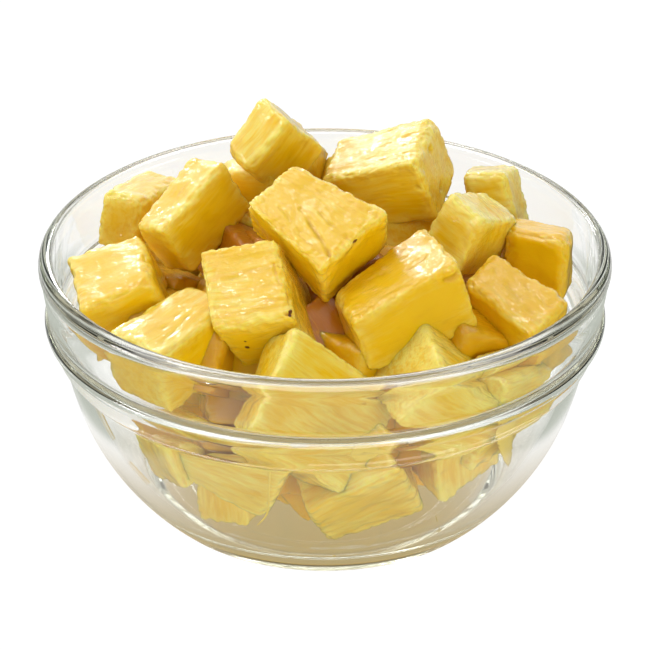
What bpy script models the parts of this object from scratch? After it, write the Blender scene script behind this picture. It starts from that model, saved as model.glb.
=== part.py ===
"""Glass bowl heaped with pineapple chunks, modelled at real size in metres, +Z up.

Origin: the middle of the bowl's foot, on the surface it stands on.
Two solids: the pressed-glass bowl, and the heap of fruit that lies in it.
"""

import math
import random

import bmesh
import bpy
from mathutils import Matrix, Vector

MM = 0.001

# Bowl, in millimetres
RIM_RADIUS = 85.0          # outside of the rim bead
HEIGHT = 82.0
RIM_ROUND = 3.5            # the bead's outer radius of curvature, down to its widest line
WALL = 4.2
COLLAR_RADIUS = 84.3       # the upright band under the rim
COLLAR_FOOT_RADIUS = 83.4
COLLAR_FOOT_Z = 64.0
RIDGE_RADIUS = 84.1        # the stacking ridge that runs round the foot of the band
RIDGE_Z = 60.5
RIDGE_HALF = 2.2
SHOULDER_RADIUS = 81.6     # where the ridge curves in towards the body
SHOULDER_Z = 54.5
SHOULDER_FOOT_RADIUS = 79.7
SHOULDER_FOOT_Z = 51.6
NOTCH_Z = 51.0             # line where the collar meets the round body
BODY_RADIUS = 79.3         # outside of the round body, a sphere
BODY_CENTRE_Z = 58.6
FOOT_OUTER = 52.0
FOOT_INNER = 45.0
FOOT_RECESS = 1.2
FOOT_BEVEL = 1.5           # slope from the foot's edges to its recess and to the body
FLOOR_Z = 6.0              # top of the thick floor
FLOOR_RADIUS = 41.0        # flat part of that floor
FLOOR_FILLET_Z = 12.0      # where the floor's fillet has become the round wall
LEDGE_TOP_Z = 64.5         # inside, the wall steps in below the band
LEDGE_FOOT_Z = 57.5
LEDGE_STEPS = (62.5, 61.0, 59.5)
BAND_STEPS = (75.5, 70.0)  # heights at which the inner wall has a ring of corners
WALL_STEPS = (52.0, 45.0, 38.0, 30.0, 23.0, 17.0)
FILLET_STEPS = (9.0, 7.2, 6.3)
RIM_INNER_DROP = 1.5       # the rim's inner round ends this far under the top
RIM_INNER_SHARE = 0.7      # a corner on that round: its share of the way in, and its drop
RIM_CORNER_DROP = 0.45
SEGMENTS = 80
SHARP_ANGLE = 35           # degrees

# Fruit, in millimetres
GAP = 0.35                 # left between the fruit and the glass
WELD = 0.01                # corners closer than this are one
EDGE_ROUND = 1.4           # worn edges of a cut chunk
PLUMP = 0.3                # a chunk's faces lie this far outside the corners given below
CORE_SHRINK = 27.0         # the core stays this far inside the bowl's wall
CORE_TOP_Z = 78.0
CORE_STEPS = (14.0, 26.0, 38.0, 50.0)      # heights of the core's rings under its dome
DOME_STEPS = 4
SLIDE_STEP = 0.25          # a chunk slides inside the glass by this much at a time
SLIDE_TRIES = 200
CORE_SEGMENTS = 20
SEED = 11

# The chunks that show: a corner, then the three edges that leave it, and how much the
# far end of the first edge is narrower than the near one.
SHOWING = {
    "left_peak": ((-11, 12, 115), (-12, -5, -14), (11, 12, -14), (-8, 10, 4), 0.0),
    "behind_peak": ((-4, 34, 101), (-9, 3, -2), (5, 8, -9), (-1, -8, -10), 0.0),
    "left_long": ((-47, -14, 92), (17, 21, 12), (-9, 8, -2), (8, 4, -16), -0.1),
    "left_behind": ((-55, 12, 89), (11, 22, -2), (-12, 6, 1), (-3, 0, -18), 0.1),
    "left_wall": ((-50, -34, 86), (-21, -3, -8), (-5, 25, 3), (6, 3, -16), -0.1),
    "left_front": ((-48, -64, 77), (20, 24, 5), (-16, 12, 1), (2, 2, -19), 0.1),
    "middle": ((-1, -40, 93), (-24, 20, 10), (19, 15, 11), (1, 10, -16), 0.3),
    "right_peak": ((26, 2, 107), (-29, 11, -11), (7, 23, 6), (8, 2, -21), 0.2),
    "right_ridge": ((46, -14, 95), (-10, 10, 5), (12, 17, -8), (-8, -1, -17), 0.0),
    "right_back": ((54, 20, 95), (-12, 4, -4), (5, 14, -4), (5, -6, -18), -0.2),
    "right_wall": ((71, -12, 88), (-18, 9, 2), (4, 14, -2), (-1, -2, -20), 0.3),
    "right_front": ((62, -47, 75), (-20, 19, 8), (11, 11, 6), (1, 10, -22), 0.2),
    "middle_right": ((8, -50, 82), (29, 13, 11), (-7, 18, 0), (5, 1, -17), -0.3),
    "middle_front": ((-9, -50, 83), (-22, 2, -5), (-5, 24, 13), (11, 13, -25), 0.0),
    "front_wedge": ((-8, -54, 83), (-13, -20, -20), (29, 6, -27), (-8, 15, -10), 0.1),
    "front_right": ((34, -63, 73), (-6, 24, 4), (18, 8, -17), (-13, -2, -15), -0.2),
    "under_left_peak": ((-17, 12, 99), (-13, 8, -3), (8, 15, -2), (2, -2, -20), 0.0),
    "low_left": ((-18, -63, 25), (-31, 12, 2), (8, -9, 23), (6, 14, 3), 0.6),
    "low_middle": ((-5, -67, 31), (26, -1, 15), (-4, 14, 5), (7, 16, -22), -0.2),
    "low_far_left": ((-49, -42, 27), (-5, -3, 17), (10, -12, 3), (11, 10, 4), 0.0),
    "low_small_left": ((-37, -44, 13), (-1, -1, 15), (15, -6, 2), (6, 14, 0), 0.0),
    "low_right": ((33, -52, 24), (-2, -6, 22), (17, 9, 8), (-8, 13, 3), 0.0),
    "under_right": ((66, -40, 62), (-14, -15, 3), (-8, 10, 2), (-4, -3, -17), 0.0),
    "low_far_right": ((58, -44, 52), (-13, -12, -1), (-8, 9, 2), (-5, 1, -14), 0.0),
}

# The chunks behind and beneath lie by a rule: rings of (count, radius, height, from, to,
# share of the radius kept across), with the angles in degrees, 0 right and 90 behind.
HIDDEN_RINGS = (
    (6, 56, 62, 20, 160, 1.0),
    (3, 53, 65, -50, 18, 1.0),
    (3, 53, 65, 162, 230, 1.0),
    (4, 38, 79, 20, 160, 1.0),
    (3, 18, 69, 70, 190, 1.0),
    (3, 12, 72, 0, 360, 1.0),
    (7, 34, 60, 185, 355, 1.0),
    (9, 54, 42, -8, 188, 0.76),
    (6, 40, 48, 200, 340, 0.9),
    (8, 42, 27, -20, 250, 0.7),
    (4, 22, 19, -90, 180, 0.9),
)
HIDDEN_LENGTH = (26, 34)
HIDDEN_WIDTH = (20, 25)
HIDDEN_DEPTH = (17, 21)
HIDDEN_TIP = 40            # degrees that one may lean, each way
HIDDEN_RISE = 3            # and how far it may lie above or below its ring
HIDDEN_TAPER = (0.1, 0.35)


def arc(centre_r, centre_z, radius, start, end, steps):
    """Points (r, z) on an arc, from start to end degrees, both included."""
    points = []
    for i in range(steps + 1):
        angle = math.radians(start + (end - start) * i / steps)
        points.append((centre_r + radius * math.cos(angle), centre_z + radius * math.sin(angle)))
    return points


def sphere_angle(radius, z):
    """Angle in degrees, below the horizontal, at which a body sphere reaches height z."""
    return math.degrees(math.asin((z - BODY_CENTRE_Z) / radius))


def outer_profile():
    """Outside of the bowl from the foot's inner edge up to the rim's widest line."""
    recess = [(0.0, FOOT_RECESS), (FOOT_INNER - FOOT_BEVEL, FOOT_RECESS), (FOOT_INNER, 0.0)]
    body = arc(0, BODY_CENTRE_Z, BODY_RADIUS, sphere_angle(BODY_RADIUS, FOOT_BEVEL),
               sphere_angle(BODY_RADIUS, NOTCH_Z), 9)
    shoulder = [(SHOULDER_FOOT_RADIUS, SHOULDER_FOOT_Z), (SHOULDER_RADIUS, SHOULDER_Z)]
    ridge = arc(RIDGE_RADIUS - RIDGE_HALF, RIDGE_Z, RIDGE_HALF, -60, 55, 4)
    band = [(COLLAR_FOOT_RADIUS, COLLAR_FOOT_Z), (COLLAR_RADIUS, HEIGHT - 2 * RIM_ROUND)]
    return recess + [(FOOT_OUTER, 0.0)] + body + shoulder + ridge + band


def rim_profile():
    """Rounded rim, from its widest line over the top to the inner edge."""
    outside = arc(RIM_RADIUS - RIM_ROUND, HEIGHT - RIM_ROUND, RIM_ROUND, 0, 90, 4)
    inner_round = RIM_RADIUS - RIM_ROUND - inner_radius(HEIGHT - RIM_INNER_DROP)
    inside = [(RIM_RADIUS - RIM_ROUND - inner_round * RIM_INNER_SHARE, HEIGHT - RIM_CORNER_DROP)]
    return outside + inside


def inner_radius(z):
    """Radius of the inner wall at height z; upright band, ledge, round wall, floor fillet."""
    if z >= LEDGE_TOP_Z:
        share = (z - LEDGE_TOP_Z) / (HEIGHT - LEDGE_TOP_Z)
        return COLLAR_FOOT_RADIUS - WALL + share * (RIM_RADIUS - COLLAR_FOOT_RADIUS)
    inner_sphere = BODY_RADIUS - WALL
    if z >= FLOOR_FILLET_Z:
        wall = math.sqrt(max(inner_sphere ** 2 - (z - BODY_CENTRE_Z) ** 2, 0))
        share = max(0.0, (z - LEDGE_FOOT_Z) / (LEDGE_TOP_Z - LEDGE_FOOT_Z))
        smooth = share * share * (3 - 2 * share)
        return wall + smooth * (COLLAR_FOOT_RADIUS - WALL - wall)
    top = math.sqrt(inner_sphere ** 2 - (FLOOR_FILLET_Z - BODY_CENTRE_Z) ** 2)
    share = max(0.0, (z - FLOOR_Z) / (FLOOR_FILLET_Z - FLOOR_Z))
    return FLOOR_RADIUS + (top - FLOOR_RADIUS) * math.sqrt(share)


def inner_profile():
    """Inside of the bowl, from just under the rim down to the middle of the floor."""
    heights = [HEIGHT - RIM_INNER_DROP, *BAND_STEPS, LEDGE_TOP_Z, *LEDGE_STEPS, LEDGE_FOOT_Z]
    heights += [*WALL_STEPS, FLOOR_FILLET_Z, *FILLET_STEPS]
    points = [(inner_radius(z), z) for z in heights]
    return points + [(FLOOR_RADIUS, FLOOR_Z), (0.0, FLOOR_Z)]


def lathe(name, profile, segments):
    """Closed solid turned about Z from a profile that starts and ends on the axis."""
    mesh_builder = bmesh.new()
    rings = []
    for radius, z in profile:
        if radius == 0:
            rings.append([mesh_builder.verts.new((0, 0, z * MM))])
            continue
        ring = []
        for i in range(segments):
            angle = 2 * math.pi * i / segments
            place = (radius * math.cos(angle) * MM, radius * math.sin(angle) * MM, z * MM)
            ring.append(mesh_builder.verts.new(place))
        rings.append(ring)
    for lower, upper in zip(rings, rings[1:]):
        for i in range(segments):
            j = (i + 1) % segments
            corners = [lower[i % len(lower)], lower[j % len(lower)],
                       upper[j % len(upper)], upper[i % len(upper)]]
            mesh_builder.faces.new(list(dict.fromkeys(corners)))
    bmesh.ops.recalc_face_normals(mesh_builder, faces=mesh_builder.faces)
    return finish_mesh(name, mesh_builder)


def finish_mesh(name, mesh_builder):
    """Turns the builder into a linked object."""
    mesh = bpy.data.meshes.new(name)
    mesh_builder.to_mesh(mesh)
    mesh_builder.free()
    thing = bpy.data.objects.new(name, mesh)
    bpy.context.scene.collection.objects.link(thing)
    return thing


def plain_material(name, colour, roughness, transmission=0.0):
    """Principled material with one colour."""
    material = bpy.data.materials.new(name)
    material.use_nodes = True
    shader = material.node_tree.nodes["Principled BSDF"]
    shader.inputs["Base Color"].default_value = (*colour, 1.0)
    shader.inputs["Roughness"].default_value = roughness
    shader.inputs["Metallic"].default_value = 0.0
    shader.inputs["Transmission Weight"].default_value = transmission
    return material


def make_bowl():
    """The pressed-glass bowl with its collar, stacking ridge and foot ring."""
    bowl = lathe("glass_bowl", outer_profile() + rim_profile() + inner_profile(), SEGMENTS)
    bowl.data.shade_smooth()
    bowl.data.set_sharp_from_angle(angle=math.radians(SHARP_ANGLE))
    bowl.data.materials.append(plain_material("clear_glass", (0.90, 0.94, 0.92), 0.04, 1.0))
    return bowl


def chunk_points(corner, along, across, down, narrowing):
    """The eight corners of a cut chunk, in an order that cube() below knows."""
    points = []
    for u in (0, 1):
        scale = 1 - narrowing * u
        for v in (0, 1):
            for w in (0, 1):
                side = across * (0.5 + (v - 0.5) * scale)
                depth = down * (0.5 + (w - 0.5) * scale)
                points.append(corner + along * u + side + depth)
    return points


def outgrown(corner, along, across, down):
    """The same chunk with each of its faces moved out by PLUMP."""
    edges = [along, across, down]
    for edge in edges:
        corner = corner - edge.normalized() * PLUMP
    return [corner] + [edge + edge.normalized() * 2 * PLUMP for edge in edges]


def edge_samples(points):
    """The corners, and the middles of every pair of them."""
    samples = list(points)
    for i, first in enumerate(points):
        for second in points[i + 1:]:
            samples.append((first + second) / 2)
    return samples


def move_inside(points):
    """Slides a chunk towards the bowl's axis until all of it is inside the glass."""
    shift = Vector((0, 0, 0))
    for _ in range(SLIDE_TRIES):
        worst = None
        for point in edge_samples(points):
            place = point + shift
            reach = math.hypot(place.x, place.y)
            allowed = inner_radius(min(max(place.z, FLOOR_Z), HEIGHT)) - GAP
            if place.z < FLOOR_Z + GAP:
                worst = Vector((0, 0, 1))
                break
            if reach > allowed:
                inward = Vector((-place.x, -place.y, 0)).normalized()
                below = max(0.0, BODY_CENTRE_Z - place.z) / BODY_RADIUS
                worst = (inward + Vector((0, 0, below))).normalized()
                break
        if worst is None:
            break
        shift += worst * SLIDE_STEP
    return [point + shift for point in points]


def cube(name, points):
    """A chunk with worn edges from its eight corners."""
    mesh_builder = bmesh.new()
    verts = [mesh_builder.verts.new(point * MM) for point in points]
    for quad in ((0, 1, 3, 2), (4, 6, 7, 5), (0, 4, 5, 1), (2, 3, 7, 6), (0, 2, 6, 4), (1, 5, 7, 3)):
        mesh_builder.faces.new([verts[i] for i in quad])
    bmesh.ops.recalc_face_normals(mesh_builder, faces=mesh_builder.faces)
    bmesh.ops.bevel(mesh_builder, geom=mesh_builder.edges[:], offset=EDGE_ROUND * MM, segments=1,
                    affect="EDGES")
    return finish_mesh(name, mesh_builder)


def hidden_chunks():
    """Corners of the chunks behind and beneath, laid round in rings."""
    draw = random.Random(SEED)
    chunks = []
    for count, radius, height, start, end, across_share in HIDDEN_RINGS:
        for i in range(count):
            angle = math.radians(start + (end - start) * (i + draw.uniform(0.3, 0.7)) / count)
            sideways = radius * across_share * math.cos(angle)
            centre = Vector((sideways, radius * math.sin(angle), height))
            centre.z += draw.uniform(-HIDDEN_RISE, HIDDEN_RISE)
            turn = Matrix.Rotation(draw.uniform(0, math.tau), 3, "Z")
            tip = Matrix.Rotation(math.radians(draw.uniform(-HIDDEN_TIP, HIDDEN_TIP)), 3, "X")
            roll = Matrix.Rotation(math.radians(draw.uniform(-HIDDEN_TIP, HIDDEN_TIP)), 3, "Y")
            lie = turn @ tip @ roll
            along = lie @ Vector((draw.uniform(*HIDDEN_LENGTH), 0, 0))
            across = lie @ Vector((0, draw.uniform(*HIDDEN_WIDTH), 0))
            down = lie @ Vector((0, 0, -draw.uniform(*HIDDEN_DEPTH)))
            corner = centre - (along + across + down) / 2
            chunks.append(chunk_points(corner, along, across, down, draw.uniform(*HIDDEN_TAPER)))
    return chunks


def core_profile():
    """The heap's plain core: the bowl's inside, shrunk, with a low dome on top."""
    points = [(0.0, FLOOR_Z + GAP)]
    for z in (FLOOR_Z + GAP, *CORE_STEPS):
        points.append((inner_radius(z) - CORE_SHRINK, z))
    dome_radius = points[-1][0]
    dome_foot = points[-1][1]
    for i in range(1, DOME_STEPS):
        angle = math.radians(90 * i / DOME_STEPS)
        rise = (CORE_TOP_Z - dome_foot) * math.sin(angle)
        points.append((dome_radius * math.cos(angle), dome_foot + rise))
    points.append((0.0, CORE_TOP_Z))
    return points


def keep_main_body(mesh):
    """Keeps the outer skin alone: sealed hollows are filled and loose scraps dropped."""
    mesh_builder = bmesh.new()
    mesh_builder.from_mesh(mesh)
    bmesh.ops.remove_doubles(mesh_builder, verts=mesh_builder.verts, dist=WELD * MM)
    bmesh.ops.dissolve_degenerate(mesh_builder, edges=mesh_builder.edges, dist=WELD * MM)
    unseen = set(mesh_builder.faces)
    bodies = []
    while unseen:
        body = set()
        front = [unseen.pop()]
        while front:
            face = front.pop()
            body.add(face)
            for edge in face.edges:
                for neighbour in edge.link_faces:
                    if neighbour in unseen:
                        unseen.remove(neighbour)
                        front.append(neighbour)
        bodies.append(body)
    bodies.sort(key=len, reverse=True)
    spare = [face for body in bodies[1:] for face in body]
    bmesh.ops.delete(mesh_builder, geom=spare, context="FACES")
    loose = [vert for vert in mesh_builder.verts if not vert.link_faces]
    bmesh.ops.delete(mesh_builder, geom=loose, context="VERTS")
    bmesh.ops.triangulate(mesh_builder, faces=mesh_builder.faces)
    mesh_builder.to_mesh(mesh)
    mesh_builder.free()


def make_heap():
    """The fruit: a core with every chunk fused on by one Boolean union."""
    core = lathe("pineapple_heap", core_profile(), CORE_SEGMENTS)
    pieces = bpy.data.collections.new("chunks")
    bpy.context.scene.collection.children.link(pieces)
    solids = []
    for name, (corner, along, across, down, narrowing) in SHOWING.items():
        outline = outgrown(*[Vector(given) for given in (corner, along, across, down)])
        solids.append((name, chunk_points(*outline, narrowing)))
    for number, points in enumerate(hidden_chunks()):
        solids.append((f"hidden_{number}", points))
    for name, points in solids:
        solid = cube(name, move_inside(points))
        bpy.context.scene.collection.objects.unlink(solid)
        pieces.objects.link(solid)
    union = core.modifiers.new("fuse", "BOOLEAN")
    union.operation = "UNION"
    union.operand_type = "COLLECTION"
    union.collection = pieces
    union.solver = "EXACT"
    bpy.context.view_layer.update()
    fused = bpy.data.meshes.new_from_object(core.evaluated_get(bpy.context.evaluated_depsgraph_get()))
    core.modifiers.clear()
    core.data = fused
    for solid in list(pieces.objects):
        bpy.data.objects.remove(solid)
    bpy.data.collections.remove(pieces)
    keep_main_body(core.data)
    core.data.materials.clear()
    core.data.materials.append(plain_material("pineapple_flesh", (0.93, 0.70, 0.16), 0.38))
    return core


def main():
    """Clears the scene and builds both solids."""
    for thing in list(bpy.data.objects):
        bpy.data.objects.remove(thing)
    make_bowl()
    make_heap()


main()
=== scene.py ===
# A clear pressed-glass bowl heaped with wet, hand-cut pineapple. Sizes here are in millimetres unless a note
# says otherwise; the frame and everything handed to Blender are in metres.
import math
import random

import bpy
import numpy as np
from mathutils import Matrix, Vector


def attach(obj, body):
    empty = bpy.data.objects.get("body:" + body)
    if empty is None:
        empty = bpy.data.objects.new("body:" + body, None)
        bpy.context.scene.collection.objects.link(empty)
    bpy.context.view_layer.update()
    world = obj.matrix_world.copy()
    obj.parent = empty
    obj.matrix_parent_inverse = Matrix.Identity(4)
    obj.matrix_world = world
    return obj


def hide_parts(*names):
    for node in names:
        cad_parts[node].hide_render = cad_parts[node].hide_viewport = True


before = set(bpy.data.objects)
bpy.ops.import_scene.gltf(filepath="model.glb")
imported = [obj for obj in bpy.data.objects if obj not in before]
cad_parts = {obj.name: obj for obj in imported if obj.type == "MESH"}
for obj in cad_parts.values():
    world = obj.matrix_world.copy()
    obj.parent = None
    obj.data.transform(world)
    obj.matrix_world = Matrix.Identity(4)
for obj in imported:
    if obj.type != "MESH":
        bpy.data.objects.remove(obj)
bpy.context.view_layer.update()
mm = 0.001


bowl = {
    "rimRadius": 85.0,
    "height": 82.0,
    "rimRound": 3.5,
    "wall": 4.2,
    "collarRadius": 84.3,      # the upright band under the rim
    "collarFootRadius": 83.4,
    "collarFootZ": 64.0,
    "ridgeRadius": 84.1,       # stacking ridge at the foot of the band
    "ridgeZ": 60.5,
    "ridgeHalf": 2.2,
    "shoulderRadius": 81.6,
    "shoulderZ": 54.5,
    "notchZ": 51.0,            # where the collar meets the round body
    "bodyRadius": 79.3,
    "bodyCentreZ": 58.6,
    "bodyFootZ": 1.6,
    "footOuter": 52.0,
    "footInner": 45.0,
    "footRecess": 1.2,
    "floorZ": 6.0,
    "floorRadius": 41.0,
    "floorFilletZ": 12.0,
    "ledgeTopZ": 64.5,         # inside, the wall steps in below the band
    "ledgeFootZ": 57.5,
    "rimInnerDrop": 1.5,       # how far below the top the rim turns into the wall
    "wallTopDrop": 2.0,
    "turnSteps": 240,          # mesh faces around, and along each part of the profile
    "bodySteps": 60,
    "ridgeSteps": 12,
    "rimSteps": 30,
    "rimInnerSteps": 12,
    "wallSteps": 70,
    "filletSteps": 14,
    "profileStep": 0.55,       # the collar and the foot are smooth curves with this spacing
}


def arcPoints(centreR, centreZ, radius, start, end, steps):
    points = []
    for i in range(steps + 1):
        angle = math.radians(start + (end - start) * i / steps)
        points.append((centreR + radius * math.cos(angle), centreZ + radius * math.sin(angle)))
    return points


def innerRadius(z):
    innerBall = bowl["bodyRadius"] - bowl["wall"]
    bandFoot = bowl["collarFootRadius"] - bowl["wall"]
    if z >= bowl["ledgeTopZ"]:
        share = (z - bowl["ledgeTopZ"]) / (bowl["height"] - bowl["ledgeTopZ"])
        return bandFoot + share * (bowl["rimRadius"] - bowl["collarFootRadius"])
    if z >= bowl["floorFilletZ"]:
        wall = math.sqrt(max(innerBall ** 2 - (z - bowl["bodyCentreZ"]) ** 2, 0))
        share = max(0.0, (z - bowl["ledgeFootZ"]) / (bowl["ledgeTopZ"] - bowl["ledgeFootZ"]))
        smooth = share * share * (3 - 2 * share)
        return wall + smooth * (bandFoot - wall)
    top = math.sqrt(innerBall ** 2 - (bowl["floorFilletZ"] - bowl["bodyCentreZ"]) ** 2)
    share = max(0.0, (z - bowl["floorZ"]) / (bowl["floorFilletZ"] - bowl["floorZ"]))
    return bowl["floorRadius"] + (top - bowl["floorRadius"]) * math.sqrt(share)


def smoothLine(points, step):
    # a curve through the points, with the ends kept
    padded = [points[0]] + list(points) + [points[-1]]
    smooth = []
    for before, start, end, after in zip(padded, padded[1:], padded[2:], padded[3:]):
        pieces = max(1, min(60, round(math.dist(start, end) / step)))
        for i in range(pieces):
            t = i / pieces
            smooth.append(tuple(0.5 * (2 * b + (c - a) * t + (2 * a - 5 * b + 4 * c - d) * t * t
                                       + (3 * b - a - 3 * c + d) * t ** 3)
                                for a, b, c, d in zip(before, start, end, after)))
    return smooth + [points[-1]]


def bowlOutside():
    def bodyAngle(z):
        return math.degrees(math.asin((z - bowl["bodyCentreZ"]) / bowl["bodyRadius"]))

    inner, outer, recess = bowl["footInner"], bowl["footOuter"], bowl["footRecess"]
    under = [(inner - 4, recess), (inner - 1.5, recess - 0.3), (inner, 0.15), (inner + 1, 0.0),
             (outer - 1, 0.0), (outer + 0.4, 0.3)]
    body = arcPoints(0, bowl["bodyCentreZ"], bowl["bodyRadius"], bodyAngle(bowl["bodyFootZ"]),
                     bodyAngle(bowl["notchZ"]), bowl["bodySteps"])
    notch, middle, wide = bowl["notchZ"], bowl["shoulderZ"], bowl["shoulderRadius"]
    shoulder = [(wide - 2.1, notch + 0.5), (wide - 1.3, notch + 1.1), (wide - 0.5, notch + 2.2),
                (wide, middle), (wide + 0.5, middle + 1.6), (wide + 0.9, middle + 2.8)]
    ridge = arcPoints(bowl["ridgeRadius"] - bowl["ridgeHalf"], bowl["ridgeZ"], bowl["ridgeHalf"],
                      -60, 60, bowl["ridgeSteps"])
    narrow, foot = bowl["collarFootRadius"], bowl["collarFootZ"]
    top = bowl["height"] - 2 * bowl["rimRound"]
    band = [(narrow - 0.25, foot - 1.0), (narrow - 0.3, foot), (narrow - 0.1, foot + 1.5),
            (narrow + 0.2, foot + 5), (bowl["collarRadius"] - 0.2, top - 2), (bowl["collarRadius"], top)]
    collar = smoothLine(shoulder + ridge + band, bowl["profileStep"])
    return [(0.0, recess)] + smoothLine(under, bowl["profileStep"]) + body + collar


def bowlRim():
    outside = arcPoints(bowl["rimRadius"] - bowl["rimRound"], bowl["height"] - bowl["rimRound"],
                        bowl["rimRound"], -20, 90, bowl["rimSteps"])
    innerTop = bowl["height"] - bowl["rimInnerDrop"]
    innerRound = bowl["rimRadius"] - bowl["rimRound"] - innerRadius(innerTop)
    return outside + arcPoints(bowl["rimRadius"] - bowl["rimRound"], innerTop,
                               innerRound, 100, 170, bowl["rimInnerSteps"])


def bowlInside():
    top = bowl["height"] - bowl["wallTopDrop"]
    steps, filletSteps = bowl["wallSteps"], bowl["filletSteps"]
    heights = [top - i * (top - bowl["floorFilletZ"]) / steps for i in range(steps + 1)]
    heights += [bowl["floorZ"] + (bowl["floorFilletZ"] - bowl["floorZ"]) * (1 - i / filletSteps) ** 2
                for i in range(1, filletSteps)]
    points = [(innerRadius(z), z) for z in heights]
    return points + [(bowl["floorRadius"], bowl["floorZ"]), (30.0, bowl["floorZ"]), (0.0, bowl["floorZ"])]


def meshObject(name, points, faces, scale=mm):
    mesh = bpy.data.meshes.new(name)
    mesh.from_pydata([tuple(c * scale for c in p) for p in points], [], faces)
    mesh.validate()
    thing = bpy.data.objects.new(name, mesh)
    bpy.context.scene.collection.objects.link(thing)
    return thing


def turned(name, profile, steps):
    points, faces, rings = [], [], []
    for radius, z in profile:
        first = len(points)
        count = 1 if radius == 0 else steps
        for i in range(count):
            angle = 2 * math.pi * i / steps
            points.append((radius * math.cos(angle), radius * math.sin(angle), z))
        rings.append((first, count))
    for (low, lowCount), (high, highCount) in zip(rings, rings[1:]):
        for i in range(steps):
            j = (i + 1) % steps
            corners = [low + i % lowCount, low + j % lowCount, high + j % highCount, high + i % highCount]
            faces.append(list(dict.fromkeys(corners)))
    thing = meshObject(name, points, faces)
    thing.data.shade_smooth()
    return thing


def feed(tree, socket, value):
    if isinstance(value, bpy.types.NodeSocket):
        tree.links.new(value, socket)
    else:
        socket.default_value = value


def addNode(tree, kind, settings=None, **inputs):
    node = tree.nodes.new(kind)
    for key, value in (settings or {}).items():
        setattr(node, key, value)
    for key, value in inputs.items():
        numbered = key[0] == "i" and key[1:].isdigit()
        feed(tree, node.inputs[int(key[1:])] if numbered else node.inputs[key], value)
    return node


def maths(tree, operation, *values, clamp=False):
    node = addNode(tree, "ShaderNodeMath", {"operation": operation, "use_clamp": clamp})
    for socket, value in zip(node.inputs, values):
        feed(tree, socket, value)
    return node.outputs[0]


def times(tree, first, second):
    return maths(tree, "MULTIPLY", first, second)


def vectorMaths(tree, operation, *values):
    node = addNode(tree, "ShaderNodeVectorMath", {"operation": operation})
    for socket, value in zip(node.inputs, values):
        feed(tree, socket, value)
    return node.outputs[0]


def scaled(tree, vector, factors):
    return vectorMaths(tree, "MULTIPLY", vector, factors)


def ranged(tree, value, low, high, toLow=0.0, toHigh=1.0):
    node = addNode(tree, "ShaderNodeMapRange", {"interpolation_type": "SMOOTHSTEP"}, i1=low, i2=high,
                   i3=toLow, i4=toHigh)
    tree.links.new(value, node.inputs[0])
    return node.outputs[0]


def noise(tree, vector, scale, detail=2.0, roughness=0.5, distortion=0.0):
    return addNode(tree, "ShaderNodeTexNoise", None, Vector=vector, Scale=scale, Detail=detail,
                   Roughness=roughness, Distortion=distortion)


def mixColours(tree, factor, first, second):
    node = tree.nodes.new("ShaderNodeMix")
    node.data_type = "RGBA"
    for name, value in (("Factor", factor), ("A", first), ("B", second)):
        socket = [s for s in node.inputs if s.name == name and s.enabled][0]
        plainColour = name != "Factor" and not isinstance(value, bpy.types.NodeSocket)
        feed(tree, socket, (*value, 1.0) if plainColour else value)
    return [s for s in node.outputs if s.enabled][0]


def readLayer(tree, name, output="Fac"):
    return addNode(tree, "ShaderNodeAttribute", {"attribute_name": name}).outputs[output]


def newMaterial(name, values):
    material = bpy.data.materials.new(name)
    material.use_nodes = True
    shader = material.node_tree.nodes["Principled BSDF"]
    for socket, value in values.items():
        shader.inputs[socket].default_value = value
    return material, material.node_tree, shader


glass = {
    "tint": (0.99, 0.99, 0.985),
    "thickTint": (0.50, 0.54, 0.36),      # the colour that light takes on inside the glass
    "thickness": 5.5,                     # and how soon
    "waveScale": 55.0,                    # a mould's slight waviness
    "waveStrength": 0.05,
    "waveHeight": 0.001,
    "index": 1.52,
    "roughness": 0.0,
    "shadowTint": (0.93, 0.93, 0.915),
}


def makeGlass():
    material, tree, shader = newMaterial("clearPressedGlass", {
        "Base Color": (*glass["tint"], 1.0),
        "Roughness": glass["roughness"],
        "IOR": glass["index"],
        "Transmission Weight": 1.0,
    })
    place = addNode(tree, "ShaderNodeTexCoord").outputs["Object"]
    wave = noise(tree, place, glass["waveScale"], 1.0).outputs[0]
    bump = addNode(tree, "ShaderNodeBump", None, Strength=glass["waveStrength"],
                   Distance=glass["waveHeight"], Height=wave)
    tree.links.new(bump.outputs[0], shader.inputs["Normal"])
    clear = addNode(tree, "ShaderNodeBsdfTransparent", None, Color=(*glass["shadowTint"], 1.0))
    path = addNode(tree, "ShaderNodeLightPath")
    # the flesh's own light and mirror images pass the glass straight
    blurred = maths(tree, "SUBTRACT", path.outputs["Is Glossy Ray"], path.outputs["Is Singular Ray"],
                    clamp=True)
    through = maths(tree, "MAXIMUM", path.outputs["Is Shadow Ray"], path.outputs["Is Diffuse Ray"])
    through = maths(tree, "MAXIMUM", through, blurred)
    mixed = addNode(tree, "ShaderNodeMixShader", None, i0=through, i1=shader.outputs[0], i2=clear.outputs[0])
    output = [n for n in tree.nodes if n.type == "OUTPUT_MATERIAL"][0]
    tree.links.new(mixed.outputs[0], output.inputs["Surface"])
    inside = addNode(tree, "ShaderNodeVolumeAbsorption", None, Color=(*glass["thickTint"], 1.0),
                     Density=glass["thickness"])
    tree.links.new(inside.outputs[0], output.inputs["Volume"])
    return material


def makeBowl(material):
    thing = turned("glassBowlShell", bowlOutside() + bowlRim() + bowlInside(), bowl["turnSteps"])
    thing.data.materials.append(material)
    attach(thing, "root")
    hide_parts("glass_bowl")
    print("bowl turned:", len(thing.data.polygons), "faces")
    return thing


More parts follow.
